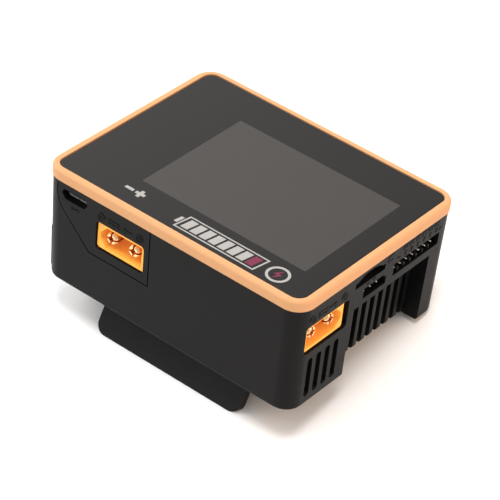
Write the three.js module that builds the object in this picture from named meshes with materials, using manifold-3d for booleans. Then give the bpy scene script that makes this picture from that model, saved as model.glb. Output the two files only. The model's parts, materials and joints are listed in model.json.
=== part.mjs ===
// Balance battery charger: a compact DC charger for model batteries, standing on its fold-out stand.
//
// Every piece is drawn in the case's own frame: X along the long side (user's right), Y from the user's
// side to the rear, Z up from the underside of the case. The whole case is then tilted about X, so that
// the front feet and the stand's edge rest on Z = 0. Millimetres throughout.

import * as THREE from 'three';
import { mergeVertices } from 'three/addons/utils/BufferGeometryUtils.js';
import Module from 'manifold-3d';

const wasm = await Module();
wasm.setup();

// ---------------------------------------------------------------- driving dimensions
const caseLength = 77.4; // along X
const caseDepth = 61.1; // along Y
const caseHeight = 29.3; // to the top of the case wall
const cornerRadius = 4.8;
const edgeRound = 0.8; // round along the underside
const wall = 1.8;
const gap = 0.3; // clearance between neighbouring pieces
const fit = 0.12; // clearance round a pressed-in pin
const draftX = 0.40; // inward lean of the walls at -X and +X, over 30 mm of depth
const draftY = 0.90; // the same for the front and rear walls
const extraDepth = 0.48; // further depth at the underside, shared out over the height

// frame and window
const frameLength = 78.0;
const frameDepth = 61.6;
const frameTop = 32.3;
const frameRound = 0.8;
const windowLength = 73.7;
const windowDepth = 57.4;
const windowRadius = 2.6;
const windowThickness = 1.0;
const windowTop = 32.04;
const ledgeTop = 30.7;
const screenX = -6.43; // centre of the display
const screenY = 0.82;

// bay with the fin ends, on the -X side
const bayLow = -21.9; // Y of the corner post's face
const bayHigh = 9.3; // Y of the connector block's face
const bayTop = 19.4; // underside of the port strip
const finFace = -34.6; // X of the fin ends
const finPitch = 3.333;
const finThickness = 1.5;
const finCount = 9;
const firstFinY = 5.64;

// boards
const mainBoardLow = 19.1;
const mainBoardTop = 20.7;
const displayBoardLow = 27.7;
const displayBoardTop = 28.5;

// power sockets: outer size of the yellow shells
const socketWidth = 14.5;
const socketHeight = 7.3;
const socketZ = 20.0; // centre height
const socketWall = 0.8;
const socketChamfer = 2.3;
const socketLength = 15;
const pinRadius = 1.8;
const pinSpacing = 6.9;
const inputX = 14.7; // centre of the inlet, in the rear wall
const outputY = 19.4; // centre of the outlet, in the -X wall

// small ports on the -X side
const portFace = -38.0; // X of the port shells' mouths
const pinTip = -37.25;
const balanceY = -15.4;
const balancePitch = 2.5;
const signalY = 1.45;
const signalPitch = 2.54;
const dataPortX = 29.05;

// bottom cover and screws
const coverThickness = 2.0;
const coverLowX = -31.3;
const screwPlaces = [[-28.6, -25.4], [-28.6, 25.4], [33.2, -25.4], [33.2, 25.4]];
const screwRadius = 1.0;
const screwHeadRadius = 2.2;
const bossTop = 14;

// stand: hinge axis along X under the rear edge
const standHalfWidth = 22.55;
const standThickness = 2.0;
const hingeY = 19.86;
const hingeZ = 1.9;
const barrelRadius = 1.7;
const hingePinRadius = 0.8;
const standSplay = THREE.MathUtils.degToRad(26); // outward lean of the open stand
const standLength = 15.09; // hinge axis to the outer edge of the tip
const standCorner = 3.0;
const pocketHalfWidth = 22.95;

// feet
const footRadius = 3.5;
const footProud = 0.6;
const footPlaces = [[-18.7, -24.7], [24, -24.7]];
const rearFoot = [-12, 12, 25, 27.8]; // rubber strip behind the stand: X and Y limits

// fan
const fanX = 14;
const fanY = -13.0;
const fanSide = 30;
const fanLow = 2.3;
const fanHigh = 9.3;
const fanBore = 13.9;
const bladeCount = 7;

// controls on the user's side
const wheelX = 24;
const wheelY = -26.6;
const wheelRadius = 5.5;
const wheelLow = 22.4;
const wheelHigh = 25.8;
const buttonX = 11;
const buttonZ = 24;

// ---------------------------------------------------------------- materials
function material(name, color, roughness, metalness) {
  return new THREE.MeshStandardMaterial({ name, color, roughness, metalness });
}

const casePlastic = material('case_plastic', 0x242324, 0.62, 0);
const framePlastic = material('frame_plastic', 0xf6b27a, 0.45, 0);
const windowGlass = material('window_glass', 0x2b2a2a, 0.25, 0);
const socketPlastic = material('socket_plastic', 0xf0a02c, 0.4, 0);
const goldPlate = material('gold_plate', 0xe8c48a, 0.25, 1);
const portPlastic = material('port_plastic', 0x121212, 0.5, 0);
const sinkBlack = material('sink_black', 0x1d1d1e, 0.5, 0.6);
const steel = material('steel', 0xa8a8aa, 0.3, 1);
const rubber = material('rubber', 0x161616, 0.9, 0);
const boardGreen = material('board_green', 0x14392a, 0.5, 0);
const partDark = material('part_dark', 0x2c2d30, 0.5, 0);
const canMetal = material('can_metal', 0xb9bcc0, 0.35, 1);

// ---------------------------------------------------------------- geometry helpers
function toSolid(geometry) {
  const bare = geometry.index ? geometry.toNonIndexed() : geometry.clone();
  bare.deleteAttribute('normal');
  bare.deleteAttribute('uv');
  const merged = mergeVertices(bare, 1e-4);
  const corners = merged.index.array;
  const triangles = [];
  for (let i = 0; i < corners.length; i += 3) {
    const [a, b, c] = corners.slice(i, i + 3);
    if (a !== b && b !== c && c !== a) triangles.push(a, b, c);
  }
  return new wasm.Manifold(new wasm.Mesh({
    numProp: 3,
    vertProperties: new Float32Array(merged.attributes.position.array),
    triVerts: new Uint32Array(triangles),
  }));
}

function toGeometry(solid) {
  const mesh = solid.getMesh();
  const geometry = new THREE.BufferGeometry();
  geometry.setAttribute('position', new THREE.BufferAttribute(new Float32Array(mesh.vertProperties), 3));
  geometry.setIndex(new THREE.BufferAttribute(new Uint32Array(mesh.triVerts), 1));
  geometry.computeVertexNormals();
  return geometry;
}

function block(x0, x1, y0, y1, z0, z1) {
  const geometry = new THREE.BoxGeometry(x1 - x0, y1 - y0, z1 - z0);
  geometry.translate((x0 + x1) / 2, (y0 + y1) / 2, (z0 + z1) / 2);
  return toSolid(geometry);
}

function roundedRectangle(x0, x1, y0, y1, radius) {
  const shape = new THREE.Shape();
  shape.absarc(x1 - radius, y1 - radius, radius, 0, Math.PI / 2);
  shape.absarc(x0 + radius, y1 - radius, radius, Math.PI / 2, Math.PI);
  shape.absarc(x0 + radius, y0 + radius, radius, Math.PI, 1.5 * Math.PI);
  shape.absarc(x1 - radius, y0 + radius, radius, 1.5 * Math.PI, 2 * Math.PI);
  shape.closePath();
  return shape;
}

function outline(points) {
  return new THREE.Shape(points.map(([x, y]) => new THREE.Vector2(x, y)));
}

// A shape drawn in XY, raised from z0 to z1; edge is the round left along both rims.
function prismGeometry(shape, z0, z1, segments = 6, edge = 0) {
  const geometry = new THREE.ExtrudeGeometry(shape, {
    depth: z1 - z0 - 2 * edge,
    curveSegments: segments,
    bevelEnabled: edge > 0,
    bevelThickness: edge,
    bevelSize: edge,
    bevelOffset: -edge,
    bevelSegments: 3,
  });
  geometry.translate(0, 0, z0 + edge);
  return geometry;
}

function prism(shape, z0, z1, segments = 6, edge = 0) {
  return toSolid(prismGeometry(shape, z0, z1, segments, edge));
}

// A shape drawn as (x, z), stretched along Y from y0 to y1.
function prismAlongY(shape, y0, y1, segments = 6) {
  const geometry = prismGeometry(shape, -y1, -y0, segments);
  geometry.rotateX(Math.PI / 2);
  return toSolid(geometry);
}

// A shape drawn as (y, z), stretched along X from x0 to x1.
function prismAlongX(shape, x0, x1, segments = 6) {
  const geometry = prismGeometry(shape, x0, x1, segments);
  geometry.rotateX(Math.PI / 2);
  geometry.rotateZ(Math.PI / 2);
  return toSolid(geometry);
}

function upright(radius, x, y, z0, z1, sides = 24) {
  const geometry = new THREE.CylinderGeometry(radius, radius, z1 - z0, sides);
  geometry.rotateX(Math.PI / 2);
  geometry.translate(x, y, (z0 + z1) / 2);
  return toSolid(geometry);
}

function lyingX(radius, x0, x1, y, z, sides = 24) {
  const geometry = new THREE.CylinderGeometry(radius, radius, x1 - x0, sides);
  geometry.rotateZ(Math.PI / 2);
  geometry.translate((x0 + x1) / 2, y, z);
  return toSolid(geometry);
}

function joined(solids) {
  return solids.reduce((whole, solid) => whole.add(solid));
}

function cut(solid, tools) {
  return tools.reduce((rest, tool) => rest.subtract(tool), solid);
}

function centredRectangle(width, depth, radius) {
  return roundedRectangle(-width / 2, width / 2, -depth / 2, depth / 2, radius);
}

// ---------------------------------------------------------------- draft of the case
// The drawing has upright walls. The case narrows a little from its top rim down, and what is in it follows.
function leaned(point) {
  const depth = Math.max(0, caseHeight - point.z);
  return new THREE.Vector3(
    point.x * (1 - draftX * depth / (15 * caseLength)),
    point.y * (1 - draftY * depth / (15 * caseDepth)),
    point.z - extraDepth * depth / caseHeight,
  );
}

function leanedGeometry(geometry) {
  const corners = geometry.attributes.position;
  const point = new THREE.Vector3();
  for (let i = 0; i < corners.count; i += 1) {
    corners.setXYZ(i, ...leaned(point.fromBufferAttribute(corners, i)).toArray());
  }
  geometry.computeVertexNormals();
  return geometry;
}

// ---------------------------------------------------------------- assembly
const caseGroup = new THREE.Group();

function place(name, solid, look, group = caseGroup) {
  const geometry = toGeometry(solid);
  const mesh = new THREE.Mesh(group === caseGroup ? leanedGeometry(geometry) : geometry, look);
  mesh.name = name;
  group.add(mesh);
}

// Round and moving pieces keep their shape: they are only carried to where their anchor goes.
function carriedBy(x, y, z) {
  const group = new THREE.Group();
  const anchor = new THREE.Vector3(x, y, z);
  group.position.copy(leaned(anchor).sub(anchor));
  caseGroup.add(group);
  return group;
}

// ---------------------------------------------------------------- frame, window, display
function makeFrame() {
  const outer = prism(centredRectangle(frameLength, frameDepth, cornerRadius + gap), 20, frameTop, 10, frameRound);
  const lip = prism(centredRectangle(caseLength - 2 * wall - 2 * gap, caseDepth - 2 * wall - 2 * gap, 2.7),
    displayBoardTop + 0.2, caseHeight + 1, 6);
  const rim = outer.intersect(block(-50, 50, -40, 40, caseHeight + gap, frameTop + 1));
  const seat = prism(centredRectangle(windowLength + 2 * gap, windowDepth + 2 * gap, windowRadius + gap),
    ledgeTop, frameTop + 1, 8);
  const clear = prism(centredRectangle(70.2, 53.6, 2), 20, frameTop + 1, 6);
  place('top_bezel', cut(rim.add(lip), [seat, clear]), framePlastic);
}

function makeWindow() {
  const shape = centredRectangle(windowLength, windowDepth, windowRadius);
  place('display_glass', prism(shape, windowTop - windowThickness, windowTop, 8), windowGlass);
}

function makeDisplay() {
  const body = block(screenX - 28.5, screenX + 31, screenY - 21.4, screenY + 21.4, displayBoardTop + gap, 30.7);
  place('lcd_module', body, partDark);
}

// ---------------------------------------------------------------- case
// Outline of the socket insert in the rear wall, as (x, z). inset shrinks it on every side.
function rearPanelShape(inset) {
  const top = caseHeight + 2;
  return outline([
    [5.4 + inset, top],
    [5.4 + inset, 13.35 + inset],
    [24.3 - 0.55 * inset, 13.35 + inset],
    [33.1 - 0.85 * inset, 22.0 + 0.3 * inset],
    [34.2 - inset, 23.7],
    [34.75 - inset, 25.6],
    [34.75 - inset, top],
  ]);
}

// Memory-card slot as (y, z): a long slot under a low finger scoop.
function cardSlotShape() {
  const shape = new THREE.Shape();
  shape.moveTo(9.2, 25.6);
  shape.lineTo(9.2, 27.1);
  shape.bezierCurveTo(7.4, 27.3, 6.6, 28.4, 4.6, 28.4);
  shape.lineTo(2.2, 28.4);
  shape.bezierCurveTo(0.2, 28.4, -0.6, 27.2, -2.4, 27.1);
  shape.lineTo(-2.4, 25.6);
  shape.closePath();
  return shape;
}

// Side slots below the outlet: shallow troughs with a small deeper pocket at the lower end.
function outletSlots() {
  const tools = [];
  for (let i = 0; i < 4; i += 1) {
    const y = 24.1 - 3.35 * i;
    const trough = roundedRectangle(y - 0.95, y + 0.95, 2.5, 13.9, 0.9);
    const pocket = roundedRectangle(y - 0.95, y + 0.95, 2.5, 4.6, 0.9);
    tools.push(prismAlongX(trough, -40, -caseLength / 2 + 0.95, 4));
    tools.push(prismAlongX(pocket, -40, -caseLength / 2 + 1.4, 4));
  }
  return tools;
}

function makeHousing() {
  const halfLength = caseLength / 2;
  const innerX = halfLength - wall;
  const innerY = caseDepth / 2 - wall;
  const outer = prism(centredRectangle(caseLength, caseDepth, cornerRadius), 0, caseHeight + 3, 10, edgeRound)
    .intersect(block(-50, 50, -40, 40, -1, caseHeight));
  const cavityShape = roundedRectangle(-innerX, innerX, -innerY, innerY, 3);
  const cavity = prism(cavityShape, wall, 60)
    .subtract(block(-50, finFace + 0.6, bayLow - wall, bayHigh + wall, -5, bayTop + 1.2));
  const floorOpening = prism(cavityShape, -2, 3)
    .subtract(block(-50, coverLowX - gap, -50, 50, -5, 5));
  const bay = block(-50, coverLowX - gap, bayLow, bayHigh, -5, bayTop);
  const blank = block(finFace, finFace + 1.6, bayHigh - 2.6, bayHigh + 0.5, 0.4, bayTop + 0.4);
  const bosses = screwPlaces.map(([x, y]) => {
    const side = Math.sign(y);
    const low = Math.min(side * 22.6, side * (innerY + 0.5));
    const reach = x > 0 ? innerX + 0.5 : x + 2.8;
    return block(x - 2.8, reach, low, low + innerY + 0.5 - 22.6, coverThickness + gap, bossTop);
  });
  const pilots = screwPlaces.map(([x, y]) => upright(screwRadius + 0.2, x, y, 0, 12.5, 16));
  const openings = [
    prismAlongY(rearPanelShape(0), innerY - 0.6, innerY + 5),
    prismAlongX(roundedRectangle(10.95, 26.9, 16.0, 24.0, 0.9), -50, -innerX + 0.5, 4),
    prismAlongX(cardSlotShape(), -50, -innerX + 0.5, 8),
    prismAlongX(outline([[-3.4, 21], [5.5, 21], [5.5, 23.9], [-2.4, 23.9], [-2.4, 23.3], [-3.4, 23.3]]),
      -50, -innerX + 0.5),
    prismAlongX(roundedRectangle(-24.6, -6.2, 21.5, 25.0, 0.3), -50, -innerX + 0.5, 3),
    block(wheelX - 6.2, wheelX + 6.2, -50, -innerY + 0.5, wheelLow - 0.4, wheelHigh + 0.4),
    prismAlongY(roundedRectangle(buttonX - 3.3, buttonX + 3.3, buttonZ - 1.8, buttonZ + 1.8, 1.3), -50, -innerY + 0.5, 4),
  ];
  const shell = cut(outer, [cavity, floorOpening, bay, ...openings, ...outletSlots()]);
  place('main_housing', cut(joined([shell, blank, ...bosses]), pilots), casePlastic);
}

function makeRearPanel() {
  const innerY = caseDepth / 2 - wall;
  const plate = prismAlongY(rearPanelShape(gap), innerY, caseDepth / 2)
    .intersect(block(-50, 50, -50, 50, 0, caseHeight - 0.05));
  const mouth = roundedRectangle(inputX - 7.5, inputX + 7.5, socketZ - 3.9, socketZ + 3.9, 0.9);
  const dataMouth = outline([
    [dataPortX - 3.95, 27.0], [dataPortX - 3.95, 26.3], [dataPortX - 2.9, 25.0],
    [dataPortX + 2.9, 25.0], [dataPortX + 3.95, 26.3], [dataPortX + 3.95, 27.0],
    [dataPortX + 3.3, 27.75], [dataPortX - 3.3, 27.75],
  ]);
  const tools = [prismAlongY(mouth, 0, 50, 4), prismAlongY(dataMouth, 0, 50)];
  place('rear_socket_panel', cut(plate, tools), casePlastic);
}

// ---------------------------------------------------------------- bottom cover, screws, feet
function fanGrille() {
  const tools = [];
  for (let ring = 0; ring < 3; ring += 1) {
    const inner = 3.6 + 3.0 * ring;
    const annulus = upright(inner + 1.8, fanX, fanY, -2, 5, 32).subtract(upright(inner, fanX, fanY, -3, 6, 32));
    const spokes = [0, 1, 2].map((i) => {
      const spoke = new THREE.BoxGeometry(40, 2.2, 12);
      spoke.rotateZ(i * Math.PI / 3);
      spoke.translate(fanX, fanY, 1);
      return toSolid(spoke);
    });
    tools.push(cut(annulus, spokes));
  }
  return tools;
}

function makeBottomCover() {
  const innerX = caseLength / 2 - wall - gap;
  const innerY = caseDepth / 2 - wall - gap;
  const plate = prism(roundedRectangle(coverLowX, innerX, -innerY, innerY, 2.6), 0, coverThickness);
  const pocketWalls = block(-24.9, 24.9, 2.6, 24.6, 0, 5.0);
  const pocket = block(-pocketHalfWidth, pocketHalfWidth, 3.4, 23.2, -2, 2.7);
  const barrelRoom = block(-pocketHalfWidth, pocketHalfWidth, hingeY - 2.3, 23.2, -2, 4.1);
  const pinHoles = [-1, 1].map((side) => {
    const reach = side * 24.4;
    return lyingX(hingePinRadius + fit, Math.min(reach, side * 20), Math.max(reach, side * 20), hingeY, hingeZ, 16);
  });
  const screwHoles = screwPlaces.flatMap(([x, y]) => [
    upright(screwRadius + 0.25, x, y, -2, 5, 16),
    upright(screwHeadRadius + 0.25, x, y, -2, 1.2, 20),
  ]);
  const footSeats = footPlaces.map(([x, y]) => upright(footRadius + 0.15, x, y, -2, 0.6, 24));
  const [x0, x1, y0, y1] = rearFoot;
  const stripSeat = block(x0 - 0.15, x1 + 0.15, y0 - 0.15, y1 + 0.15, -2, 0.6);
  const tools = [pocket, barrelRoom, ...pinHoles, ...screwHoles, ...footSeats, stripSeat, ...fanGrille()];
  place('bottom_cover', cut(plate.add(pocketWalls), tools), casePlastic);
}

function makeScrews() {
  screwPlaces.forEach(([x, y], i) => {
    const head = upright(screwHeadRadius, x, y, 0.15, 1.0, 20);
    const shank = upright(screwRadius, x, y, 0.5, 11.5, 16);
    const slots = [block(x - 1.2, x + 1.2, y - 0.25, y + 0.25, 0, 0.6), block(x - 0.25, x + 0.25, y - 1.2, y + 1.2, 0, 0.6)];
    place(`case_screw_${i + 1}`, cut(head.add(shank), slots), steel);
  });
}

function makeFeet() {
  footPlaces.forEach(([x, y], i) => {
    place(['rubber_foot_left', 'rubber_foot_right'][i], upright(footRadius, x, y, -footProud, 0.5, 24), rubber);
  });
  place('rubber_foot_rear', block(...rearFoot, -footProud, 0.5), rubber);
}

// ---------------------------------------------------------------- stand
const standDown = new THREE.Vector2(Math.sin(standSplay), -Math.cos(standSplay)); // (y, z) along the plate
const standOut = new THREE.Vector2(Math.cos(standSplay), Math.sin(standSplay)); // (y, z) out of its rear face
const hinge = new THREE.Vector2(hingeY, hingeZ);
const standTip = hinge.clone().addScaledVector(standOut, barrelRadius).addScaledVector(standDown, standLength);
const standGroup = carriedBy(0, hingeY, hingeZ);
const footEdge = leaned(new THREE.Vector3(0, footPlaces[0][1] - footRadius, -footProud));
const caseTilt = Math.atan2(
  footEdge.z - standTip.y - standGroup.position.z,
  standTip.x + standGroup.position.y - footEdge.y,
);

function makeStand() {
  const along = new THREE.Vector2(-Math.cos(caseTilt), Math.sin(caseTilt)); // the table, towards the front
  const innerReach = -standThickness / along.dot(standOut);
  const rootOuter = hinge.clone().addScaledVector(standOut, barrelRadius);
  const rootInner = rootOuter.clone().addScaledVector(standOut, -standThickness);
  const tipInner = standTip.clone().addScaledVector(along, innerReach);
  const section = outline([rootOuter, standTip, tipInner, rootInner].map((p) => [p.x, p.y]));
  const plate = prismAlongX(section, -standHalfWidth, standHalfWidth);
  const face = roundedRectangle(-standHalfWidth, standHalfWidth, -standLength, standLength + 5, standCorner);
  const faceGeometry = prismGeometry(face, -12, 12, 8);
  faceGeometry.rotateX(Math.PI / 2 + standSplay);
  faceGeometry.translate(0, rootOuter.x, rootOuter.y);
  const barrel = lyingX(barrelRadius, -standHalfWidth, standHalfWidth, hingeY, hingeZ, 28);
  const bores = [-1, 1].map((side) => {
    const reach = side * 25;
    return lyingX(hingePinRadius + fit, Math.min(reach, side * 17.5), Math.max(reach, side * 17.5), hingeY, hingeZ, 16);
  });
  place('kickstand', cut(plate.intersect(toSolid(faceGeometry)).add(barrel), bores), casePlastic, standGroup);
}

function makeHingePins() {
  place('kickstand_pin_left', lyingX(hingePinRadius, -23.9, -17.8, hingeY, hingeZ, 16), steel, standGroup);
  place('kickstand_pin_right', lyingX(hingePinRadius, 17.8, 23.9, hingeY, hingeZ, 16), steel, standGroup);
}

// ---------------------------------------------------------------- power sockets
// Mouth outline as (across, up): two corners at the +across end are chamfered.
function socketShape(inset) {
  const halfWidth = socketWidth / 2 - inset;
  const halfHeight = socketHeight / 2 - inset;
  const chamfer = inset > 0 ? socketChamfer - 0.4 * inset : 0.5;
  return outline([
    [-halfWidth, -halfHeight], [halfWidth - chamfer, -halfHeight], [halfWidth, -halfHeight + chamfer],
    [halfWidth, halfHeight - chamfer], [halfWidth - chamfer, halfHeight], [-halfWidth, halfHeight],
  ]);
}

// Socket drawn with its mouth at the origin, opening along +Z, then turned to its wall.
function socketPieces(recess) {
  const shell = prism(socketShape(0), -socketLength, 0);
  const hollow = prism(socketShape(socketWall), -8.5, 1);
  const bores = [-1, 1].map((side) => upright(pinRadius + fit, side * pinSpacing / 2, 0, -20, 1, 24));
  const pins = [-1, 1].map((side) => {
    const x = side * pinSpacing / 2;
    const profile = [[0, 0], [pinRadius, 0], [pinRadius, 15.2], [pinRadius - 0.45, 15.8], [0, 15.8]];
    const pin = new THREE.LatheGeometry(profile.map(([r, z]) => new THREE.Vector2(r, z)), 24);
    pin.rotateX(Math.PI / 2);
    pin.translate(x, 0, -recess - 15.8);
    const slits = [
      block(x - 3, x + 3, -0.25, 0.25, -recess - 5, 1),
      block(x - 0.25, x + 0.25, -3, 3, -recess - 5, 1),
      upright(0.75, x, 0, -recess - 5, 1, 12),
    ];
    return cut(toSolid(pin), slits);
  });
  return { shell: cut(shell, [hollow, ...bores]), pins };
}

// across is the direction of the chamfered end, up and out complete the right-handed frame.
function placeSocket(name, recess, position, across, up, out) {
  const group = new THREE.Group();
  group.position.copy(leaned(new THREE.Vector3(...position)));
  const axes = [across, up, out].map((axis) => new THREE.Vector3(...axis));
  group.quaternion.setFromRotationMatrix(new THREE.Matrix4().makeBasis(...axes));
  caseGroup.add(group);
  const { shell, pins } = socketPieces(recess);
  place(`${name}_socket_shell`, shell, socketPlastic, group);
  place(`${name}_pin_negative`, pins[0], goldPlate, group);
  place(`${name}_pin_positive`, pins[1], goldPlate, group);
}

function makeSockets() {
  const inset = 0.6; // of each mouth below the outer face
  placeSocket('input', 0.45, [inputX, caseDepth / 2 - inset, socketZ], [1, 0, 0], [0, 0, -1], [0, 1, 0]);
  placeSocket('output', 0.75, [-caseLength / 2 + inset, outputY, socketZ], [0, -1, 0], [0, 0, 1], [-1, 0, 0]);
}

// ---------------------------------------------------------------- small ports
function squarePost(y, z, backX) {
  const half = 0.32;
  const run = block(pinTip, backX, y - half, y + half, z - half, z + half);
  const tail = block(backX - 2 * half, backX, y - half, y + half, mainBoardTop + 0.1, z + half);
  return run.add(tail);
}

// A port shell in the strip, open towards -X, with holes for a row of square posts.
function portShell(box, hollow, posts, z) {
  const half = 0.32 + fit;
  const holes = posts.map((y) => block(-50, 0, y - half, y + half, z - half, z + half));
  return cut(block(...box), [block(...hollow), ...holes]);
}

function makeBalancePort() {
  const posts = [...Array(7).keys()].map((i) => balanceY + balancePitch * (3 - i));
  const z = 22.6;
  const shell = portShell([portFace + 1.3, -30.2, -25.1, -5.7, 21.0, 25.6],
    [-45, -32, -24.4, -6.4, 21.7, 24.9], posts, z);
  const ribs = [...Array(6).keys()].map((i) => {
    const y = balanceY + balancePitch * (2.5 - i);
    return block(portFace + 1.3, -33, y - 0.2, y + 0.2, 21.3, 22.1);
  });
  place('balance_header', joined([shell, ...ribs]), portPlastic);
  posts.forEach((y, i) => place(`balance_pin_${i + 1}`, squarePost(y, z, -28.6), goldPlate));
}

function makeSignalPort() {
  const posts = [1, 0, -1].map((i) => signalY + signalPitch * i);
  const z = 22.1;
  const shell = portShell([portFace + 1.3, -31, -3.95, 6.05, 20.9, 24.4],
    [-45, -33, -3.35, 5.45, 21.4, 23.8], posts, z);
  place('signal_header', shell, portPlastic);
  posts.forEach((y, i) => place(`signal_pin_${i + 1}`, squarePost(y, z, -29.6), goldPlate));
}

function makeDataPort() {
  const shell = block(dataPortX - 3.6, dataPortX + 3.6, 23.6, 28.6, 25.1, 27.6);
  const hollow = block(dataPortX - 3.25, dataPortX + 3.25, 24.2, 35, 25.45, 27.25);
  place('usb_shell', cut(shell, [hollow]), canMetal);
  place('usb_tongue', block(dataPortX - 2.4, dataPortX + 2.4, 24.4, 28.4, 26.5, 27.05), portPlastic);
}

function makeCardSocket() {
  const shell = block(-36.4, -21.8, -2.9, 9.7, 25.7, displayBoardLow - 0.1);
  const hollow = block(-40, -22.6, -2.1, 8.9, 26.1, 27.2);
  place('card_socket', cut(shell, [hollow]), canMetal);
}

// ---------------------------------------------------------------- cooling
function makeHeatsink() {
  const sectionPoints = new THREE.Shape();
  sectionPoints.moveTo(finFace, bayTop - gap);
  sectionPoints.lineTo(finFace, 1.6);
  sectionPoints.absarc(finFace + 1.2, 1.6, 1.2, Math.PI, 1.5 * Math.PI);
  sectionPoints.lineTo(coverLowX - 0.6, 0.4);
  sectionPoints.lineTo(coverLowX - 0.6, 5.3);
  sectionPoints.lineTo(-1.6, 5.3);
  sectionPoints.lineTo(-1.6, 16);
  sectionPoints.lineTo(-33, 16);
  sectionPoints.lineTo(-33, bayTop - gap);
  sectionPoints.closePath();
  const fins = [];
  for (let i = 0; i < finCount; i += 1) {
    const y = firstFinY - finPitch * i;
    fins.push(prismAlongY(sectionPoints, y - finThickness / 2, y + finThickness / 2, 4));
  }
  const low = firstFinY - finPitch * (finCount - 1) - finThickness / 2;
  const base = block(-33, 25, low, firstFinY + finThickness / 2, 15, 17.3);
  place('heatsink', joined([base, ...fins]), sinkBlack);
}

function makeFan() {
  const group = carriedBy(fanX, fanY, (fanLow + fanHigh) / 2);
  const half = fanSide / 2;
  const body = prism(roundedRectangle(fanX - half, fanX + half, fanY - half, fanY + half, 2.5), fanLow, fanHigh, 4);
  const open = upright(fanBore, fanX, fanY, fanLow + 1, fanHigh + 2, 36);
  const inlet = upright(fanBore, fanX, fanY, fanLow - 2, fanLow + 2, 36);
  const arms = [0, 1, 2].map((i) => {
    const arm = new THREE.BoxGeometry(fanBore + 0.5, 1.6, 0.9);
    arm.translate((fanBore + 0.5) / 2, 0, 0.45);
    arm.rotateZ(i * 2 * Math.PI / 3);
    arm.translate(fanX, fanY, fanLow);
    return toSolid(arm);
  });
  const motorPlate = upright(6, fanX, fanY, fanLow, fanLow + 0.9, 24);
  const axle = upright(0.9, fanX, fanY, fanLow, fanHigh - 1.6, 12);
  place('fan_frame', joined([cut(body, [open, inlet]), ...arms, motorPlate, axle]), casePlastic, group);

  const hub = upright(6, fanX, fanY, fanLow + 1.3, fanHigh - 0.4, 28);
  const blades = [...Array(bladeCount).keys()].map((i) => {
    const blade = new THREE.BoxGeometry(8.2, 0.9, 5.8);
    blade.rotateX(0.75);
    blade.translate(9.3, 0, 0);
    blade.rotateZ(i * 2 * Math.PI / bladeCount);
    blade.translate(fanX, fanY, fanLow + 3.9);
    return toSolid(blade);
  });
  const axleHole = upright(1.1, fanX, fanY, fanLow, fanHigh - 1.2, 12);
  place('fan_rotor', cut(joined([hub, ...blades]), [axleHole]), partDark, group);
}

// ---------------------------------------------------------------- boards and what they carry
function makeMainBoard() {
  const board = prism(roundedRectangle(-32.6, 36.2, -28.2, 28.2, 2.6), mainBoardLow, mainBoardTop, 3);
  const notches = [
    block(inputX - 7.8, inputX + 7.8, 13.2, 40, 0, 40),
    block(-50, -21.0, outputY - 7.9, outputY + 7.9, 0, 40),
    block(wheelX - 6.2, wheelX + 6.2, -40, -27.9, 0, 40),
  ];
  place('main_board', cut(board, notches), boardGreen);
}

function makeDisplayBoard() {
  place('display_board', prism(centredRectangle(72.4, 56.2, 2.6), displayBoardLow, displayBoardTop, 3), boardGreen);
}

function makeFlex() {
  const ribbon = new THREE.Shape();
  ribbon.moveTo(-22, mainBoardTop + 0.2);
  ribbon.lineTo(-14, mainBoardTop + 0.2);
  ribbon.absarc(-14, 24.1, 3.2, -Math.PI / 2, Math.PI / 2);
  ribbon.lineTo(-22, 27.3);
  ribbon.lineTo(-22, 27.0);
  ribbon.lineTo(-14, 27.0);
  ribbon.absarc(-14, 24.1, 2.9, Math.PI / 2, -Math.PI / 2, true);
  ribbon.lineTo(-22, mainBoardTop + 0.5);
  ribbon.closePath();
  place('display_flex', prismAlongX(ribbon, -27.5, -16, 8), socketPlastic);
}

function makeInductors() {
  [[-8.5, -12], [5.5, -12]].forEach(([x, y], i) => {
    const shape = roundedRectangle(x - 6, x + 6, y - 6, y + 6, 1.5);
    const body = prism(shape, mainBoardTop + 0.2, 27.0, 3);
    place(`inductor_${i + 1}`, cut(body, [upright(3.4, x, y, 26.5, 30, 20)]), partDark);
  });
}

function makeCapacitors() {
  [[28, 12], [28, 2], [18, 6]].forEach(([x, y], i) => {
    const can = upright(3.9, x, y, mainBoardTop + 0.2, 27.0, 20);
    const vent = [block(x - 3, x + 3, y - 0.2, y + 0.2, 26.7, 28), block(x - 0.2, x + 0.2, y - 3, y + 3, 26.7, 28)];
    place(`capacitor_${i + 1}`, cut(can, vent), canMetal);
  });
}

function makeChips() {
  place('control_chip', block(17, 26, -13, -4, mainBoardTop + 0.15, mainBoardTop + 1.5), partDark);
  const buzzer = upright(4.5, -10, 6, mainBoardTop + 0.2, 26.2, 24);
  place('buzzer', cut(buzzer, [upright(0.9, -10, 6, 25, 30, 12)]), partDark);
  [-26, -14, -2, 10].forEach((x, i) => {
    place(`power_transistor_${i + 1}`, block(x - 4, x + 4, -13, -3, 17.45, mainBoardLow - 0.15), partDark);
  });
}

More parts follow.
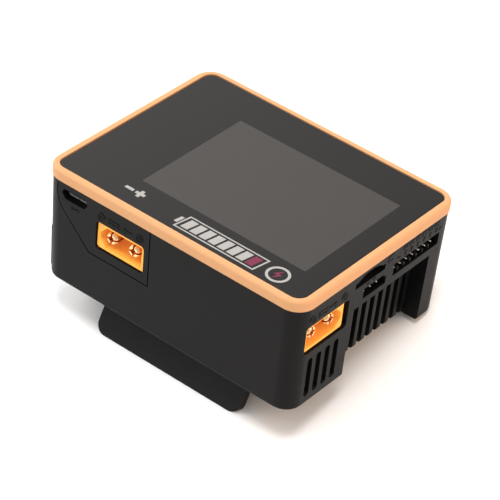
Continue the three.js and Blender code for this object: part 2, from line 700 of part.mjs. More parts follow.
// ---------------------------------------------------------------- controls on the user's side
function makeWheel() {
  const group = carriedBy(wheelX, wheelY, (wheelLow + wheelHigh) / 2);
  const base = block(wheelX - 5.5, wheelX + 5.5, -28.3, -20.6, mainBoardTop + 0.3, wheelLow - 0.3);
  const back = block(wheelX - 4, wheelX + 4, -20.9, -19.7, mainBoardTop + 0.3, wheelHigh);
  place('wheel_carrier', joined([base, back, upright(1.2, wheelX, wheelY, 21.5, wheelHigh - 0.3, 16)]), partDark, group);

  const flutes = new THREE.Shape();
  const fluteCount = 26;
  const steps = fluteCount * 4;
  for (let i = 0; i < steps; i += 1) {
    const angle = i * 2 * Math.PI / steps;
    const radius = wheelRadius - 0.16 + 0.16 * Math.cos(fluteCount * angle);
    const point = [wheelX + radius * Math.cos(angle), wheelY + radius * Math.sin(angle)];
    if (i === 0) flutes.moveTo(...point);
    else flutes.lineTo(...point);
  }
  flutes.closePath();
  const tyre = prism(flutes, wheelLow, wheelHigh);
  place('scroll_wheel', cut(tyre, [upright(1.35, wheelX, wheelY, 0, 40, 16)]), rubber, group);
  place('wheel_switch', block(wheelX - 3, wheelX + 3, -18.7, -15.5, mainBoardTop + 0.2, 24.6), partDark);
}

function makeBackButton() {
  const cap = prismAlongY(roundedRectangle(buttonX - 3, buttonX + 3, buttonZ - 1.5, buttonZ + 1.5, 1.1), -31.15, -27.8, 4);
  const flange = block(buttonX - 3.9, buttonX + 3.9, -28.4, -27.6, buttonZ - 2.3, buttonZ + 2.3);
  place('back_button', cap.add(flange), casePlastic, carriedBy(buttonX, -30, buttonZ));
  place('back_switch', block(buttonX - 3, buttonX + 3, -26.6, -23.4, mainBoardTop + 0.2, 25.4), partDark);
}

makeFrame();
makeWindow();
makeDisplay();
makeHousing();
makeRearPanel();
makeBottomCover();
makeScrews();
makeFeet();
makeStand();
makeHingePins();
makeSockets();
makeBalancePort();
makeSignalPort();
makeDataPort();
makeCardSocket();
makeHeatsink();
makeFan();
makeMainBoard();
makeDisplayBoard();
makeFlex();
makeInductors();
makeCapacitors();
makeChips();
makeWheel();
makeBackButton();

// ---------------------------------------------------------------- standing on its stand
// The case is tilted, then moved so that its box stands on Z = 0 with its centre on the Z axis.
caseGroup.rotation.x = caseTilt;
caseGroup.updateMatrixWorld(true);
const extent = new THREE.Box3().setFromObject(caseGroup, true);
caseGroup.position.set(-(extent.min.x + extent.max.x) / 2, -(extent.min.y + extent.max.y) / 2, -extent.min.z);

const charger = new THREE.Group();
charger.add(caseGroup);

export default charger;
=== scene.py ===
"""Looks of the balance battery charger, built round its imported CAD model.

Pieces are drawn in the case's own frame, in millimetres: X to the user's right, Y to the rear, Z up from
the underside of the case. CASE carries that frame to the row frame, in metres.
"""
import json
import math

import bmesh
import bpy
from mathutils import Matrix, Vector


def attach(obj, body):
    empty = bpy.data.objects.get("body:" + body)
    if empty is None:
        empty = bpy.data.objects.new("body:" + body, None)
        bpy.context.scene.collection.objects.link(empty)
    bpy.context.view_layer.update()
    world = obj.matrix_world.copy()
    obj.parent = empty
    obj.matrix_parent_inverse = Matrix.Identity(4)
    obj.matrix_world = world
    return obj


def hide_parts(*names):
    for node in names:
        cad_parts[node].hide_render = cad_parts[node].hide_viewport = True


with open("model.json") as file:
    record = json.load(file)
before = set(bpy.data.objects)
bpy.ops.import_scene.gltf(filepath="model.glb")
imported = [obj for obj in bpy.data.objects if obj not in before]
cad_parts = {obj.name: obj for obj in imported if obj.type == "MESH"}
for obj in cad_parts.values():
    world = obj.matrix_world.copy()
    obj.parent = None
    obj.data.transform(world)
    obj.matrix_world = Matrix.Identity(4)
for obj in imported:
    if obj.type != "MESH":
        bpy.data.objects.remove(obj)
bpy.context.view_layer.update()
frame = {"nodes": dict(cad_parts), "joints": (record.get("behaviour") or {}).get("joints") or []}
scene = bpy.context.scene
scene.view_settings.view_transform = "Standard"

# ---------------------------------------------------------------- the case's own frame
joints = {joint["name"]: joint for joint in frame["joints"]}
CASE_LENGTH, CASE_DEPTH, CASE_HEIGHT = 77.4, 61.1, 29.3  # along X, Y and Z, to the top of the wall
DRAFT_X, DRAFT_Y = 0.40, 0.90  # how far the walls lean in over 30 mm of height
EXTRA_HEIGHT = 0.48  # shared out over the height


def leaned(x, y, z):
    """Where a point of the upright drawing lies on the case, whose walls lean in below the frame."""
    down = max(0.0, CASE_HEIGHT - z)
    return Vector((x * (1 - DRAFT_X * down / (15 * CASE_LENGTH)),
                   y * (1 - DRAFT_Y * down / (15 * CASE_DEPTH)),
                   z - EXTRA_HEIGHT * down / CASE_HEIGHT))


HINGE = leaned(0.0, 19.86, 1.9)  # the stand's hinge, in the case frame
case_up = Vector(joints["fan_spin"]["axis"])
TILT = math.atan2(-case_up.y, case_up.z)
turned = Matrix.Rotation(TILT, 4, "X") @ Matrix.Scale(0.001, 4)
CASE = Matrix.Translation(Vector(joints["stand_hinge"]["pos_m"]) - turned @ HINGE) @ turned
UNCASE = CASE.inverted()

# sizes shared with the CAD model, mm
WINDOW_TOP = 32.04
FRAME_TOP = 32.28
SIDE_X = -CASE_LENGTH / 2
REAR_Y = CASE_DEPTH / 2
FRONT_Y = -REAR_Y
SCREEN = (-6.43, 0.82, 48.96, 36.72)  # centre and size of the lit area
INLET_X = 14.7
BALANCE_MIDDLE, BALANCE_PITCH = -15.4, 2.5  # along Y
BALANCE_PINS = [BALANCE_MIDDLE + BALANCE_PITCH * (3 - i) for i in range(7)]
SIGNAL_PINS = [1.45 + 2.54 * i for i in (1, 0, -1)]
DATA_X = 29.05


# ---------------------------------------------------------------- camera
def make_camera():
    azimuth, elevation, roll = (math.radians(a) for a in (220.7466, 45.0093, -1.9799))
    distance, target = 0.59559, Vector((-0.00058, 0.00016, 0.0165))
    back = Vector((math.sin(azimuth) * math.cos(elevation), -math.cos(azimuth) * math.cos(elevation),
                   math.sin(elevation)))
    level = Vector((math.cos(azimuth), math.sin(azimuth), 0))
    right = level * math.cos(roll) + back.cross(level) * math.sin(roll)
    up = back.cross(right)
    data = bpy.data.cameras.new("camera")
    data.sensor_width = 36
    data.lens = 176.37
    data.clip_start, data.clip_end = 0.01, 50
    camera = bpy.data.objects.new("camera", data)
    camera.matrix_world = Matrix.Translation(target + back * distance) @ Matrix((right, up, back)).transposed().to_4x4()
    scene.collection.objects.link(camera)
    scene.camera = camera


# ---------------------------------------------------------------- materials
def node_tree(name):
    look = bpy.data.materials.new(name)
    look.use_nodes = True
    tree = look.node_tree
    return look, tree, tree.nodes["Principled BSDF"]


def noise(tree, scale, detail=2.0, rough=0.5):
    place = tree.nodes.get("Texture Coordinate") or tree.nodes.new("ShaderNodeTexCoord")
    texture = tree.nodes.new("ShaderNodeTexNoise")
    texture.inputs["Scale"].default_value = scale
    texture.inputs["Detail"].default_value = detail
    texture.inputs["Roughness"].default_value = rough
    tree.links.new(place.outputs["Object"], texture.inputs["Vector"])
    return texture.outputs["Fac"]


def spread(tree, value, low, high):
    """Stretches noise, which mostly keeps between 0.3 and 0.7, to run from low to high."""
    ranged = tree.nodes.new("ShaderNodeMapRange")
    ranged.inputs["From Min"].default_value = 0.3
    ranged.inputs["From Max"].default_value = 0.7
    ranged.inputs["To Min"].default_value = low
    ranged.inputs["To Max"].default_value = high
    tree.links.new(value, ranged.inputs["Value"])
    return ranged.outputs["Result"]


def blend(tree, factor, first, second):
    mix = tree.nodes.new("ShaderNodeMix")
    mix.data_type = "RGBA"
    tree.links.new(factor, mix.inputs["Factor"])
    for socket, colour in ((mix.inputs["A"], first), (mix.inputs["B"], second)):
        if isinstance(colour, (tuple, list)):
            socket.default_value = (*colour, 1)
        else:
            tree.links.new(colour, socket)
    return mix.outputs["Result"]


def shade(colour, factor):
    return tuple(min(1.0, c * factor) for c in colour)


def surface(name, colour, rough, metallic=0.0, variation=0.08, patch=90, grain=0.0, grain_scale=4500, grain_depth=2e-5,
            rough_spread=0.05, specular=0.5, coat=0.0):
    """A moulded, plated or coated surface: slow colour and gloss patches, and a fine grain as bump."""
    look, tree, shader = node_tree(name)
    slow = noise(tree, patch, 3)
    base = blend(tree, spread(tree, slow, 0, 1), shade(colour, 1 - variation), shade(colour, 1 + variation))
    tree.links.new(base, shader.inputs["Base Color"])
    smear = noise(tree, patch * 3.1, 4, 0.6)
    tree.links.new(spread(tree, smear, rough - rough_spread, rough + rough_spread), shader.inputs["Roughness"])
    shader.inputs["Metallic"].default_value = metallic
    shader.inputs["Specular IOR Level"].default_value = specular
    shader.inputs["Coat Weight"].default_value = coat
    shader.inputs["Coat Roughness"].default_value = 0.1
    if grain:
        fine = noise(tree, grain_scale, 1.5)
        bump = tree.nodes.new("ShaderNodeBump")
        bump.inputs["Strength"].default_value = grain
        bump.inputs["Distance"].default_value = grain_depth
        tree.links.new(fine, bump.inputs["Height"])
        tree.links.new(bump.outputs["Normal"], shader.inputs["Normal"])
    return look


case_look = surface("case_plastic", (0.0042, 0.0042, 0.0046), 0.44, grain=0.3, grain_scale=5200, rough_spread=0.02,
                    specular=0.105)
cover_look = surface("cover_plastic", (0.0050, 0.0050, 0.0054), 0.54, grain=0.5, grain_scale=4200, specular=0.18)
stand_look = surface("stand_plastic", (0.0108, 0.0108, 0.0114), 0.5, grain=0.35, grain_scale=5200, specular=0.14)
# near black, darker than the case: painted shade on the raised marks, whose relief itself is real
relief_painted_shade_look = surface("relief_plastic", (0.0012, 0.0012, 0.0012), 0.42, grain=0.2, specular=0.1)
frame_look = surface("frame_plastic", (0.610, 0.318, 0.153), 0.52, variation=0.02, grain=0.25, grain_scale=6000,
                     specular=0.12)
border_look = surface("window_border", (0.0056, 0.0052, 0.0052), 0.19, variation=0.03, rough_spread=0.02, specular=0.25)
screen_look = surface("window_screen", (0.040, 0.0366, 0.0358), 0.22, variation=0.02, rough_spread=0.02, specular=0.25)
print_look = surface("print_white", (0.33, 0.325, 0.32), 0.4, variation=0.03, specular=0.2)
print_red_look = surface("print_red", (0.15, 0.020, 0.052), 0.4, variation=0.05, specular=0.2)
socket_painted_glow_look = surface("socket_plastic", (0.93, 0.42, 0.055), 0.36, variation=0.03, grain=0.2, grain_scale=3000,
                      specular=0.25)
socket_glow_shader = socket_painted_glow_look.node_tree.nodes["Principled BSDF"]  # painted glow: a faint orange emission lightens the amber socket, which gives no light of its own
socket_glow_shader.inputs["Emission Color"].default_value = (1.0, 0.40, 0.10, 1)
socket_glow_shader.inputs["Emission Strength"].default_value = 0.16
gold_look = surface("gold_plate", (0.86, 0.58, 0.32), 0.22, metallic=1, variation=0.04, patch=700, grain=0.2,
                    grain_scale=2500)
tip_look = surface("post_plate", (0.97, 0.93, 0.84), 0.4, metallic=0.35, variation=0.03, patch=700)
port_look = surface("port_plastic", (0.006, 0.006, 0.006), 0.45, grain=0.3, specular=0.2)
# lighter than the port plastic: a painted highlight on the keys along the balance port's lip
key_painted_highlight_look = surface("key_plastic", (0.035, 0.034, 0.033), 0.35, specular=0.4)
sink_look = surface("sink_black", (0.005, 0.005, 0.0053), 0.42, grain=0.4, grain_scale=2600, specular=0.14)
steel_look = surface("steel", (0.42, 0.42, 0.43), 0.3, metallic=1, patch=500, grain=0.2, grain_scale=2500)
can_look = surface("can_metal", (0.62, 0.62, 0.64), 0.28, metallic=1, patch=400)
rubber_look = surface("rubber", (0.013, 0.013, 0.013), 0.8, grain=0.8, grain_scale=2600, grain_depth=4e-5)
board_look = surface("board", (0.012, 0.055, 0.028), 0.35, variation=0.15, patch=160, coat=0.3)
film_look = surface("flex_film", (0.5, 0.2, 0.03), 0.3, variation=0.08)
dark_look = surface("dark_part", (0.022, 0.022, 0.024), 0.5, grain=0.3)


# ---------------------------------------------------------------- mesh helpers
CREASE = math.radians(32)  # faces that meet at more than this have a sharp edge between them


def rounded(length, depth, radius, z, x=0.0, y=0.0, steps=12):
    """A rounded rectangle at height z, anticlockwise from its +X side."""
    points = []
    for corner, (sx, sy) in enumerate(((1, 1), (-1, 1), (-1, -1), (1, -1))):
        for i in range(steps + 1):
            angle = math.pi / 2 * (corner + i / steps)
            points.append((x + sx * (length / 2 - radius) + radius * math.cos(angle),
                           y + sy * (depth / 2 - radius) + radius * math.sin(angle), z))
    return points


def loft(bm, loops, ring=False):
    rows = [[bm.verts.new(point) for point in loop] for loop in loops]
    pairs = list(zip(rows, rows[1:]))
    if ring:
        pairs.append((rows[-1], rows[0]))
    for low, high in pairs:
        for i in range(len(low)):
            j = (i + 1) % len(low)
            bm.faces.new((low[i], low[j], high[j], high[i]))
    if not ring:
        bm.faces.new(tuple(reversed(rows[0])))
        bm.faces.new(rows[-1])
    return rows


def piece(name, bm, looks, body="chassis", replaces=(), lean=False):
    if lean:
        for corner in bm.verts:
            corner.co = leaned(*corner.co)
    bmesh.ops.recalc_face_normals(bm, faces=bm.faces)
    mesh = bpy.data.meshes.new(name)
    bm.to_mesh(mesh)
    bm.free()
    for extra in ("custom_normal", "sharp_edge", "sharp_face"):
        if extra in mesh.attributes:
            mesh.attributes.remove(mesh.attributes[extra])
    mesh.transform(CASE)
    for look in looks:
        mesh.materials.append(look)
    mesh.shade_smooth()
    mesh.set_sharp_from_angle(angle=CREASE)
    obj = bpy.data.objects.new(name, mesh)
    scene.collection.objects.link(obj)
    flat = obj.modifiers.new("flat_faces", "WEIGHTED_NORMAL")
    flat.keep_sharp = True
    flat.weight = 100
    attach(obj, body)
    if replaces:
        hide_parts(*replaces)
    return obj


def node_bmesh(node):
    """The CAD node's solid in the case frame, with its flat faces whole again."""
    mesh = frame["nodes"][node].data.copy()
    mesh.transform(UNCASE)
    bm = bmesh.new()
    bm.from_mesh(mesh)
    bpy.data.meshes.remove(mesh)
    bmesh.ops.remove_doubles(bm, verts=bm.verts, dist=0.003)
    bmesh.ops.dissolve_limit(bm, angle_limit=math.radians(0.8), verts=bm.verts, edges=bm.edges)
    return bm


def soften(bm, width, segments=2):
    """Rounds the sharp edges."""
    edges = [e for e in bm.edges if len(e.link_faces) == 2 and e.calc_face_angle(0) > CREASE]
    bmesh.ops.bevel(bm, geom=edges, offset=width, offset_type="OFFSET", segments=segments, profile=0.5,
                    affect="EDGES", clamp_overlap=True)
    for face in bm.faces:
        face.material_index = 0


def refine(name, node, width, look, body="chassis", segments=2):
    """The CAD node's solid with rounded edges, in its place."""
    bm = node_bmesh(node)
    soften(bm, width, segments)
    return piece(name, bm, [look], body, [node])


def curve_mesh(curve):
    temporary = bpy.data.objects.new("outline", curve)
    scene.collection.objects.link(temporary)
    bpy.context.view_layer.update()
    mesh = bpy.data.meshes.new_from_object(temporary.evaluated_get(bpy.context.evaluated_depsgraph_get()))
    bpy.data.objects.remove(temporary)
    bpy.data.curves.remove(curve)
    return mesh


def plate(outlines, thickness):
    """A flat shape from closed outlines in (u, v); an outline inside another is a hole."""
    curve = bpy.data.curves.new("outline", "CURVE")
    curve.dimensions = "2D"
    curve.fill_mode = "BOTH"
    curve.extrude = thickness / 2
    for points in outlines:
        spline = curve.splines.new("POLY")
        spline.points.add(len(points) - 1)
        for corner, (u, v) in zip(spline.points, points):
            corner.co = (u, v, 0, 1)
        spline.use_cyclic_u = True
    return curve_mesh(curve)


def figure(text, size, thickness):
    curve = bpy.data.curves.new("figure", "FONT")
    curve.body = text
    curve.size = size
    curve.shear = 0.25
    curve.align_x = "CENTER"
    curve.align_y = "CENTER"
    curve.extrude = thickness / 2
    curve.resolution_u = 3
    curve.offset = size * 0.028
    return curve_mesh(curve)


FACES = {  # directions to the right and up as seen from outside
    "top": (Vector((1, 0, 0)), Vector((0, 1, 0))),
    "side": (Vector((0, -1, 0)), Vector((0, 0, 1))),
    "rear": (Vector((-1, 0, 0)), Vector((0, 0, 1))),
    "front": (Vector((1, 0, 0)), Vector((0, 0, 1))),
    "under": (Vector((1, 0, 0)), Vector((0, -1, 0))),
}


def stamp(bm, mesh, face, centre, lift):
    """Adds a flat shape to bm, on one of the case's faces, its middle plane lift above centre."""
    right, up = FACES[face]
    out = right.cross(up)
    matrix = Matrix((right, up, out)).transposed().to_4x4()
    mesh.transform(Matrix.Translation(Vector(centre) + out * lift) @ matrix)
    bm.from_mesh(mesh)
    bpy.data.meshes.remove(mesh)


def circle(radius, steps=28):
    angles = [2 * math.pi * i / steps for i in range(steps)]
    return [(radius * math.cos(angle), radius * math.sin(angle)) for angle in angles]


def bar(width, height, u=0.0, v=0.0, lean=0.0):
    """An upright bar, its top moved by lean."""
    w, h = width / 2, height / 2
    return [(u - w - lean / 2, v - h), (u + w - lean / 2, v - h), (u + w + lean / 2, v + h), (u - w + lean / 2, v + h)]


def plus(size, width):
    s, w = size / 2, width / 2
    return [(-w, -s), (w, -s), (w, -w), (s, -w), (s, w), (w, w),
            (w, s), (-w, s), (-w, w), (-s, w), (-s, -w), (-w, -w)]


def arrow(length, width, head, way):
    """An arrow along u, to the right where way is 1 and to the left where it is -1."""
    h, w = length / 2, width / 2
    neck, barb = h - head, head * 0.8
    corners = ((-h, -w), (neck, -w), (neck, -barb), (h, 0), (neck, barb), (neck, w), (-h, w))
    return [(way * a, b) for a, b in corners]


# ---------------------------------------------------------------- frame and window
def make_frame():
    """The frame's section, from its outer lower edge over its rounded top to the ledge under the window."""
    bm = bmesh.new()
    length, depth, radius, edge = 78.0, 61.6, 5.1, 0.8
    loops = [rounded(77.8, 61.4, 5.0, 29.46), rounded(length, depth, radius, 29.56),
             rounded(length, depth, radius, 31.18)]
    for i in range(1, 9):
        angle = math.pi / 16 * i
        inset = edge * (1 - math.cos(angle))
        z = FRAME_TOP - edge + edge * math.sin(angle)
        loops.append(rounded(length - 2 * inset, depth - 2 * inset, radius - inset, z))
    loops += [rounded(74.56, 58.26, 3.03, FRAME_TOP), rounded(74.38, 58.08, 2.94, 32.26),
              rounded(74.3, 58.0, 2.9, 32.16), rounded(74.3, 58.0, 2.9, 30.7),
              rounded(70.2, 53.6, 2.0, 30.7), rounded(70.2, 53.6, 2.0, 28.7),
              rounded(73.2, 56.9, 2.7, 28.7), rounded(73.2, 56.9, 2.7, 29.46)]
    loft(bm, loops, ring=True)
    piece("frame_ring", bm, [frame_look], replaces=["top_bezel"])


def make_window():
    """A panel with a rounded rim, its top in two looks: the border, and the lit area of the screen."""
    bm = bmesh.new()
    length, depth, radius = 73.9, 57.8, 2.75
    loops = [rounded(length - 0.2, depth - 0.2, radius - 0.1, WINDOW_TOP - 1.0),
             rounded(length, depth, radius, WINDOW_TOP - 0.9)]
    edge = 0.16
    for i in range(5):
        angle = math.pi / 8 * i
        inset = edge * (1 - math.cos(angle))
        z = WINDOW_TOP - edge + edge * math.sin(angle)
        loops.append(rounded(length - 2 * inset, depth - 2 * inset, radius - inset, z))
    rows = loft(bm, loops)
    bm.faces.ensure_lookup_table()
    bm.faces.remove(next(f for f in bm.faces if len(f.verts) == len(rows[-1]) and f.verts[0] in rows[-1]))
    x, y, w, d = SCREEN
    corners = [bm.verts.new(p) for p in rounded(w, d, 0.15, WINDOW_TOP, x, y, 2)]
    rim = [bm.edges.get((a, b)) for a, b in zip(rows[-1], rows[-1][1:] + rows[-1][:1])]
    inner = [bm.edges.new((a, b)) for a, b in zip(corners, corners[1:] + corners[:1])]
    bmesh.ops.triangle_fill(bm, edges=rim + inner, use_beauty=True)
    lit = bm.faces.new(corners)
    lit.material_index = 1
    piece("window_panel", bm, [border_look, screen_look], replaces=["display_glass"])


def make_window_marks():
    """Generic marks along the rear edge of the window: a battery gauge, a roundel with a bolt, and a +/- pair."""
    thickness = 0.03
    lift = thickness / 2 + 0.005
    top = WINDOW_TOP
    white, red = bmesh.new(), bmesh.new()
    # gauge: an outline with a terminal at its right end, and leaning level bars in it
    low, high, left, right = 21.9, 27.5, -22.6, 1.2
    middle = ((left + right) / 2, (low + high) / 2)
    width, height = right - left, high - low
    outline = [bar(width, height, lean=0.9), bar(width - 0.9, height - 0.8, lean=0.8)]
    stamp(white, plate(outline, thickness), "top", (*middle, top), lift)
    stamp(white, plate([bar(0.9, 2.6, lean=0.4)], thickness), "top", (right + 0.8, middle[1], top), lift)
    for i in range(8):
        target = red if i == 0 else white
        level = plate([bar(2.1, height - 1.9, lean=0.6)], thickness)
        stamp(target, level, "top", (left + 2.3 + 2.74 * i, middle[1], top), lift)
    # roundel: a ring, with a bolt across it
    centre = (-27.3, 24.6)
    stamp(white, plate([circle(3.0, steps=40), circle(2.3, steps=40)], thickness), "top", (*centre, top), lift)
    bolt = [(0.55, 2.0), (-1.15, -0.25), (-0.1, -0.25), (-0.55, -2.0), (1.15, 0.25), (0.1, 0.25)]
    stamp(red, plate([bolt], thickness), "top", (*centre, top), lift)
    # polarity pair
    stamp(white, plate([plus(2.8, 0.95)], thickness), "top", (14.8, 23.75, top), lift)
    stamp(white, plate([bar(2.5, 0.95)], thickness), "top", (18.1, 23.75, top), lift)
    piece("window_print", white, [print_look])
    piece("window_print_accent", red, [print_red_look])


# ---------------------------------------------------------------- relief marks on the walls, darkened with painted shade
RELIEF_THICKNESS, RELIEF_LIFT = 0.14, 0.04


def raise_mark(bm, outlines, face, centre):
    stamp(bm, plate(outlines, RELIEF_THICKNESS), face, centre, RELIEF_LIFT)


def polarity(bm, face, centre, positive):
    raise_mark(bm, [circle(1.2), circle(0.84)], face, centre)
    raise_mark(bm, [plus(1.2, 0.34) if positive else bar(1.2, 0.36)], face, centre)


def power_mark(bm, face, centre, way):
    """Direct-current symbol, a line over three dashes, with an arrow that shows which way the power goes."""
    aside = FACES[face][0] * 2.0
    raise_mark(bm, [bar(3.5, 0.5, 0, 0.45)], face, Vector(centre) - aside)
    raise_mark(bm, [bar(0.88, 0.5, u, -0.45) for u in (-1.31, 0, 1.31)], face, Vector(centre) - aside)
    raise_mark(bm, [arrow(3.1, 0.56, 1.15, way)], face, Vector(centre) + aside)


def make_relief():
    side, rear, front = bmesh.new(), bmesh.new(), bmesh.new()
    # outlet, signal port, card slot and balance port on the -X wall
    z = 25.75
    polarity(side, "side", (SIDE_X, 25.1, z), False)
    polarity(side, "side", (SIDE_X, 13.0, z), True)
    power_mark(side, "side", (SIDE_X, 19.1, z), 1)
    card = [(-0.9, -1.0), (0.9, -1.0), (0.9, 1.0), (-0.3, 1.0), (-0.9, 0.4)]
    label = [(-0.5, -0.6), (0.5, -0.6), (0.5, 0.0), (-0.5, 0.0)]
    raise_mark(side, [card, label], "side", (SIDE_X, -4.4, 27.6))
    for i, y in enumerate(BALANCE_PINS):
        mark = figure(str(i), 1.65, RELIEF_THICKNESS) if i else plate([bar(1.0, 0.34)], RELIEF_THICKNESS)
        stamp(side, mark, "side", (SIDE_X, y, 26.1), RELIEF_LIFT)
    raise_mark(side, [plus(1.0, 0.3)], "side", (SIDE_X, BALANCE_PINS[6] - 1.7, 26.1))
    for y in BALANCE_PINS[1:]:  # six cells in a row
        raise_mark(side, [bar(1.8, 1.2), bar(1.0, 0.3)], "side", (SIDE_X, y, 27.9))
        raise_mark(side, [bar(0.28, 0.6)], "side", (SIDE_X, y - 1.04, 27.9))
    raise_mark(side, [bar(1.0, 0.34)], "side", (SIDE_X, SIGNAL_PINS[0], 24.75))
    raise_mark(side, [plus(1.0, 0.32)], "side", (SIDE_X, SIGNAL_PINS[1], 24.75))
    piece("side_relief", side, [relief_painted_shade_look], lean=True)
    # inlet and data port on the rear wall
    z = 25.65
    polarity(rear, "rear", (INLET_X + 5.9, REAR_Y, z), False)
    polarity(rear, "rear", (INLET_X - 5.9, REAR_Y, z), True)
    power_mark(rear, "rear", (INLET_X, REAR_Y, z), -1)
    both_ways = [(-1.5, 0), (-0.8, 0.6), (-0.8, 0.16), (0.8, 0.16), (0.8, 0.6),
                 (1.5, 0), (0.8, -0.6), (0.8, -0.16), (-0.8, -0.16), (-0.8, -0.6)]
    raise_mark(rear, [both_ways], "rear", (DATA_X, REAR_Y, 23.4))
    piece("rear_relief", rear, [relief_painted_shade_look], lean=True)
    # back button on the user's wall
    raise_mark(front, [[(0.9, -0.75), (0.9, 0.75), (-0.7, 0)]], "front", (11.0, FRONT_Y, 27.4))
    piece("front_relief", front, [relief_painted_shade_look], lean=True)


# ---------------------------------------------------------------- case and covers
def make_case():
    refine("housing", "main_housing", 0.2, case_look)
    refine("rear_insert", "rear_socket_panel", 0.15, case_look)
    refine("base_cover", "bottom_cover", 0.15, cover_look)
    refine("stand_plate", "kickstand", 0.3, stand_look, body="stand")
    refine("back_key", "back_button", 0.15, case_look, body="button")
    refine("fin_block", "heatsink", 0.15, sink_look)


def make_sockets():
    for name in ("input", "output"):
        refine(f"{name}_socket_body", f"{name}_socket_shell", 0.12, socket_painted_glow_look)
        for sign in ("negative", "positive"):
            refine(f"{name}_contact_{sign}", f"{name}_pin_{sign}", 0.12, gold_look)


def post(name, node):
    """A square post, its end narrowed to a bright tip just inside the mouth of its port."""
    bm = node_bmesh(node)
    soften(bm, 0.06, 1)
    tip = [corner for corner in bm.verts if corner.co.x < -36.6]
    centre = sum((corner.co for corner in tip), Vector()) / len(tip)
    for corner in tip:
        corner.co = centre + (corner.co - centre) * 0.4 + Vector((-0.55, 0, 0))
    piece(name, bm, [tip_look], replaces=[node])


def make_ports():
    refine("balance_shroud", "balance_header", 0.06, port_look)
    refine("signal_shroud", "signal_header", 0.06, port_look)
    for i in range(1, 8):
        post(f"balance_post_{i}", f"balance_pin_{i}")
    for i in range(1, 4):
        post(f"signal_post_{i}", f"signal_pin_{i}")
    ribs = bmesh.new()  # keys along the lower lip of the balance port, one between each pair of posts; their lighter grey is a painted highlight
    for i in range(6):
        y = BALANCE_MIDDLE + BALANCE_PITCH * (2.5 - i)
        stamp(ribs, plate([bar(0.3, 1.2)], 0.8), "side", (-37.7, y, 21.85), 0.0)
    piece("balance_keys", ribs, [key_painted_highlight_look], lean=True)


OTHERS = [  # name, node, edge width, look, slot, body
    ("fan_housing", "fan_frame", 0.15, "cover", "case_plastic", "chassis"),
    ("fan_blades", "fan_rotor", 0.12, "dark", "dark_part", "rotor"),
    ("wheel_seat", "wheel_carrier", 0.1, "dark", "dark_part", "wheel_slide"),
    ("wheel_tyre", "scroll_wheel", 0.08, "rubber", "rubber", "wheel"),
    ("data_shell", "usb_shell", 0.06, "can", "can_metal", "chassis"),
    ("data_tongue", "usb_tongue", 0.05, "port", "port_plastic", "chassis"),
    ("card_cage", "card_socket", 0.06, "can", "can_metal", "chassis"),
    ("screen_unit", "lcd_module", 0.15, "dark", "dark_part", "chassis"),
    ("hinge_pin_left", "kickstand_pin_left", 0.1, "steel", "steel", "chassis"),
    ("hinge_pin_right", "kickstand_pin_right", 0.1, "steel", "steel", "chassis"),
    ("foot_left", "rubber_foot_left", 0.15, "rubber", "rubber", "chassis"),
    ("foot_right", "rubber_foot_right", 0.15, "rubber", "rubber", "chassis"),
    ("foot_rear", "rubber_foot_rear", 0.15, "rubber", "rubber", "chassis"),
    ("lower_board", "main_board", 0.05, "board", "board", "chassis"),
    ("upper_board", "display_board", 0.05, "board", "board", "chassis"),
    ("controller", "control_chip", 0.08, "dark", "dark_part", "chassis"),
    ("sounder", "buzzer", 0.1, "dark", "dark_part", "chassis"),
]
OTHERS += [(f"screw_{i}", f"case_screw_{i}", 0.08, "steel", "steel", "chassis") for i in range(1, 5)]
OTHERS += [(f"can_{i}", f"capacitor_{i}", 0.25, "can", "can_metal", "chassis") for i in range(1, 4)]
OTHERS += [(f"coil_{i}", f"inductor_{i}", 0.3, "dark", "dark_part", "chassis") for i in (1, 2)]


def make_others():
    looks = {"cover": cover_look, "dark": dark_look, "rubber": rubber_look, "can": can_look, "port": port_look,
             "steel": steel_look, "board": board_look}
    for name, node, width, look, slot, body in OTHERS:
        refine(name, node, width, looks[look], body, segments=1 if width < 0.1 else 2)


CARRIED = {"display_flex": film_look, "wheel_switch": dark_look, "back_switch": dark_look,
           **{f"power_transistor_{i}": dark_look for i in range(1, 5)}}


def dress_cad_nodes():
    """Nodes that stay as the CAD model has them, with their own look."""
    for node, look in CARRIED.items():
        data = frame["nodes"][node].data
        data.materials.clear()
        data.materials.append(look)


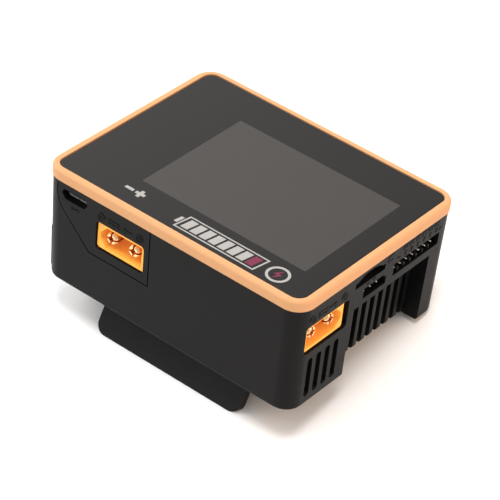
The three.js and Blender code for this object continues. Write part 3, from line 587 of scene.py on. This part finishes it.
# ---------------------------------------------------------------- floor and light
def make_floor():
    bm = bmesh.new()
    bmesh.ops.create_circle(bm, cap_ends=True, segments=96, radius=4.0)
    mesh = bpy.data.meshes.new("floor")
    bm.to_mesh(mesh)
    bm.free()
    mesh.materials.append(surface("floor_paint", (0.94, 0.94, 0.94), 0.85, variation=0.01, patch=4,
                                  rough_spread=0.02, specular=0.2))
    floor = bpy.data.objects.new("floor", mesh)
    scene.collection.objects.link(floor)


def area_light(name, direction, distance, size, power, colour):
    data = bpy.data.lights.new(name, "AREA")
    data.shape = "DISK"
    data.size = size
    data.energy = power
    data.color = colour
    light = bpy.data.objects.new(name, data)
    away = Vector(direction).normalized()
    light.location = away * distance
    light.rotation_euler = away.to_track_quat("Z", "Y").to_euler()
    scene.collection.objects.link(light)


def make_light():
    world = bpy.data.worlds.new("studio")
    world.use_nodes = True
    sky = world.node_tree.nodes["Background"]
    sky.inputs["Color"].default_value = (1.0, 0.985, 0.965, 1)
    # a white studio, a little brighter on the far side to the right
    nodes, links = world.node_tree.nodes, world.node_tree.links
    way = nodes.new("ShaderNodeVectorMath")
    way.operation = "DOT_PRODUCT"
    way.inputs[1].default_value = (0.93, -0.1, 0.35)
    fade = nodes.new("ShaderNodeMapRange")
    fade.inputs["From Min"].default_value = 0.56
    fade.inputs["From Max"].default_value = 0.85
    fade.inputs["To Min"].default_value = 0.73
    fade.inputs["To Max"].default_value = 1.95
    links.new(nodes.new("ShaderNodeTexCoord").outputs["Generated"], way.inputs[0])
    links.new(way.outputs["Value"], fade.inputs["Value"])
    links.new(fade.outputs["Result"], sky.inputs["Strength"])
    scene.world = world
    area_light("overhead", (-0.1, 0.05, 1.0), 1.2, 0.5, 8.5, (1.0, 0.985, 0.97))
    area_light("key_light", (0.85, 0.15, 0.95), 1.2, 0.7, 3, (0.96, 0.98, 1.0))
    area_light("warm_fill", (-0.9, -0.45, 0.5), 1.2, 0.9, 5.5, (1.0, 0.56, 0.27))


make_camera()
make_light()
make_floor()
make_window_marks()
make_relief()
make_frame()
make_window()
make_case()
make_sockets()
make_ports()
make_others()
dress_cad_nodes()
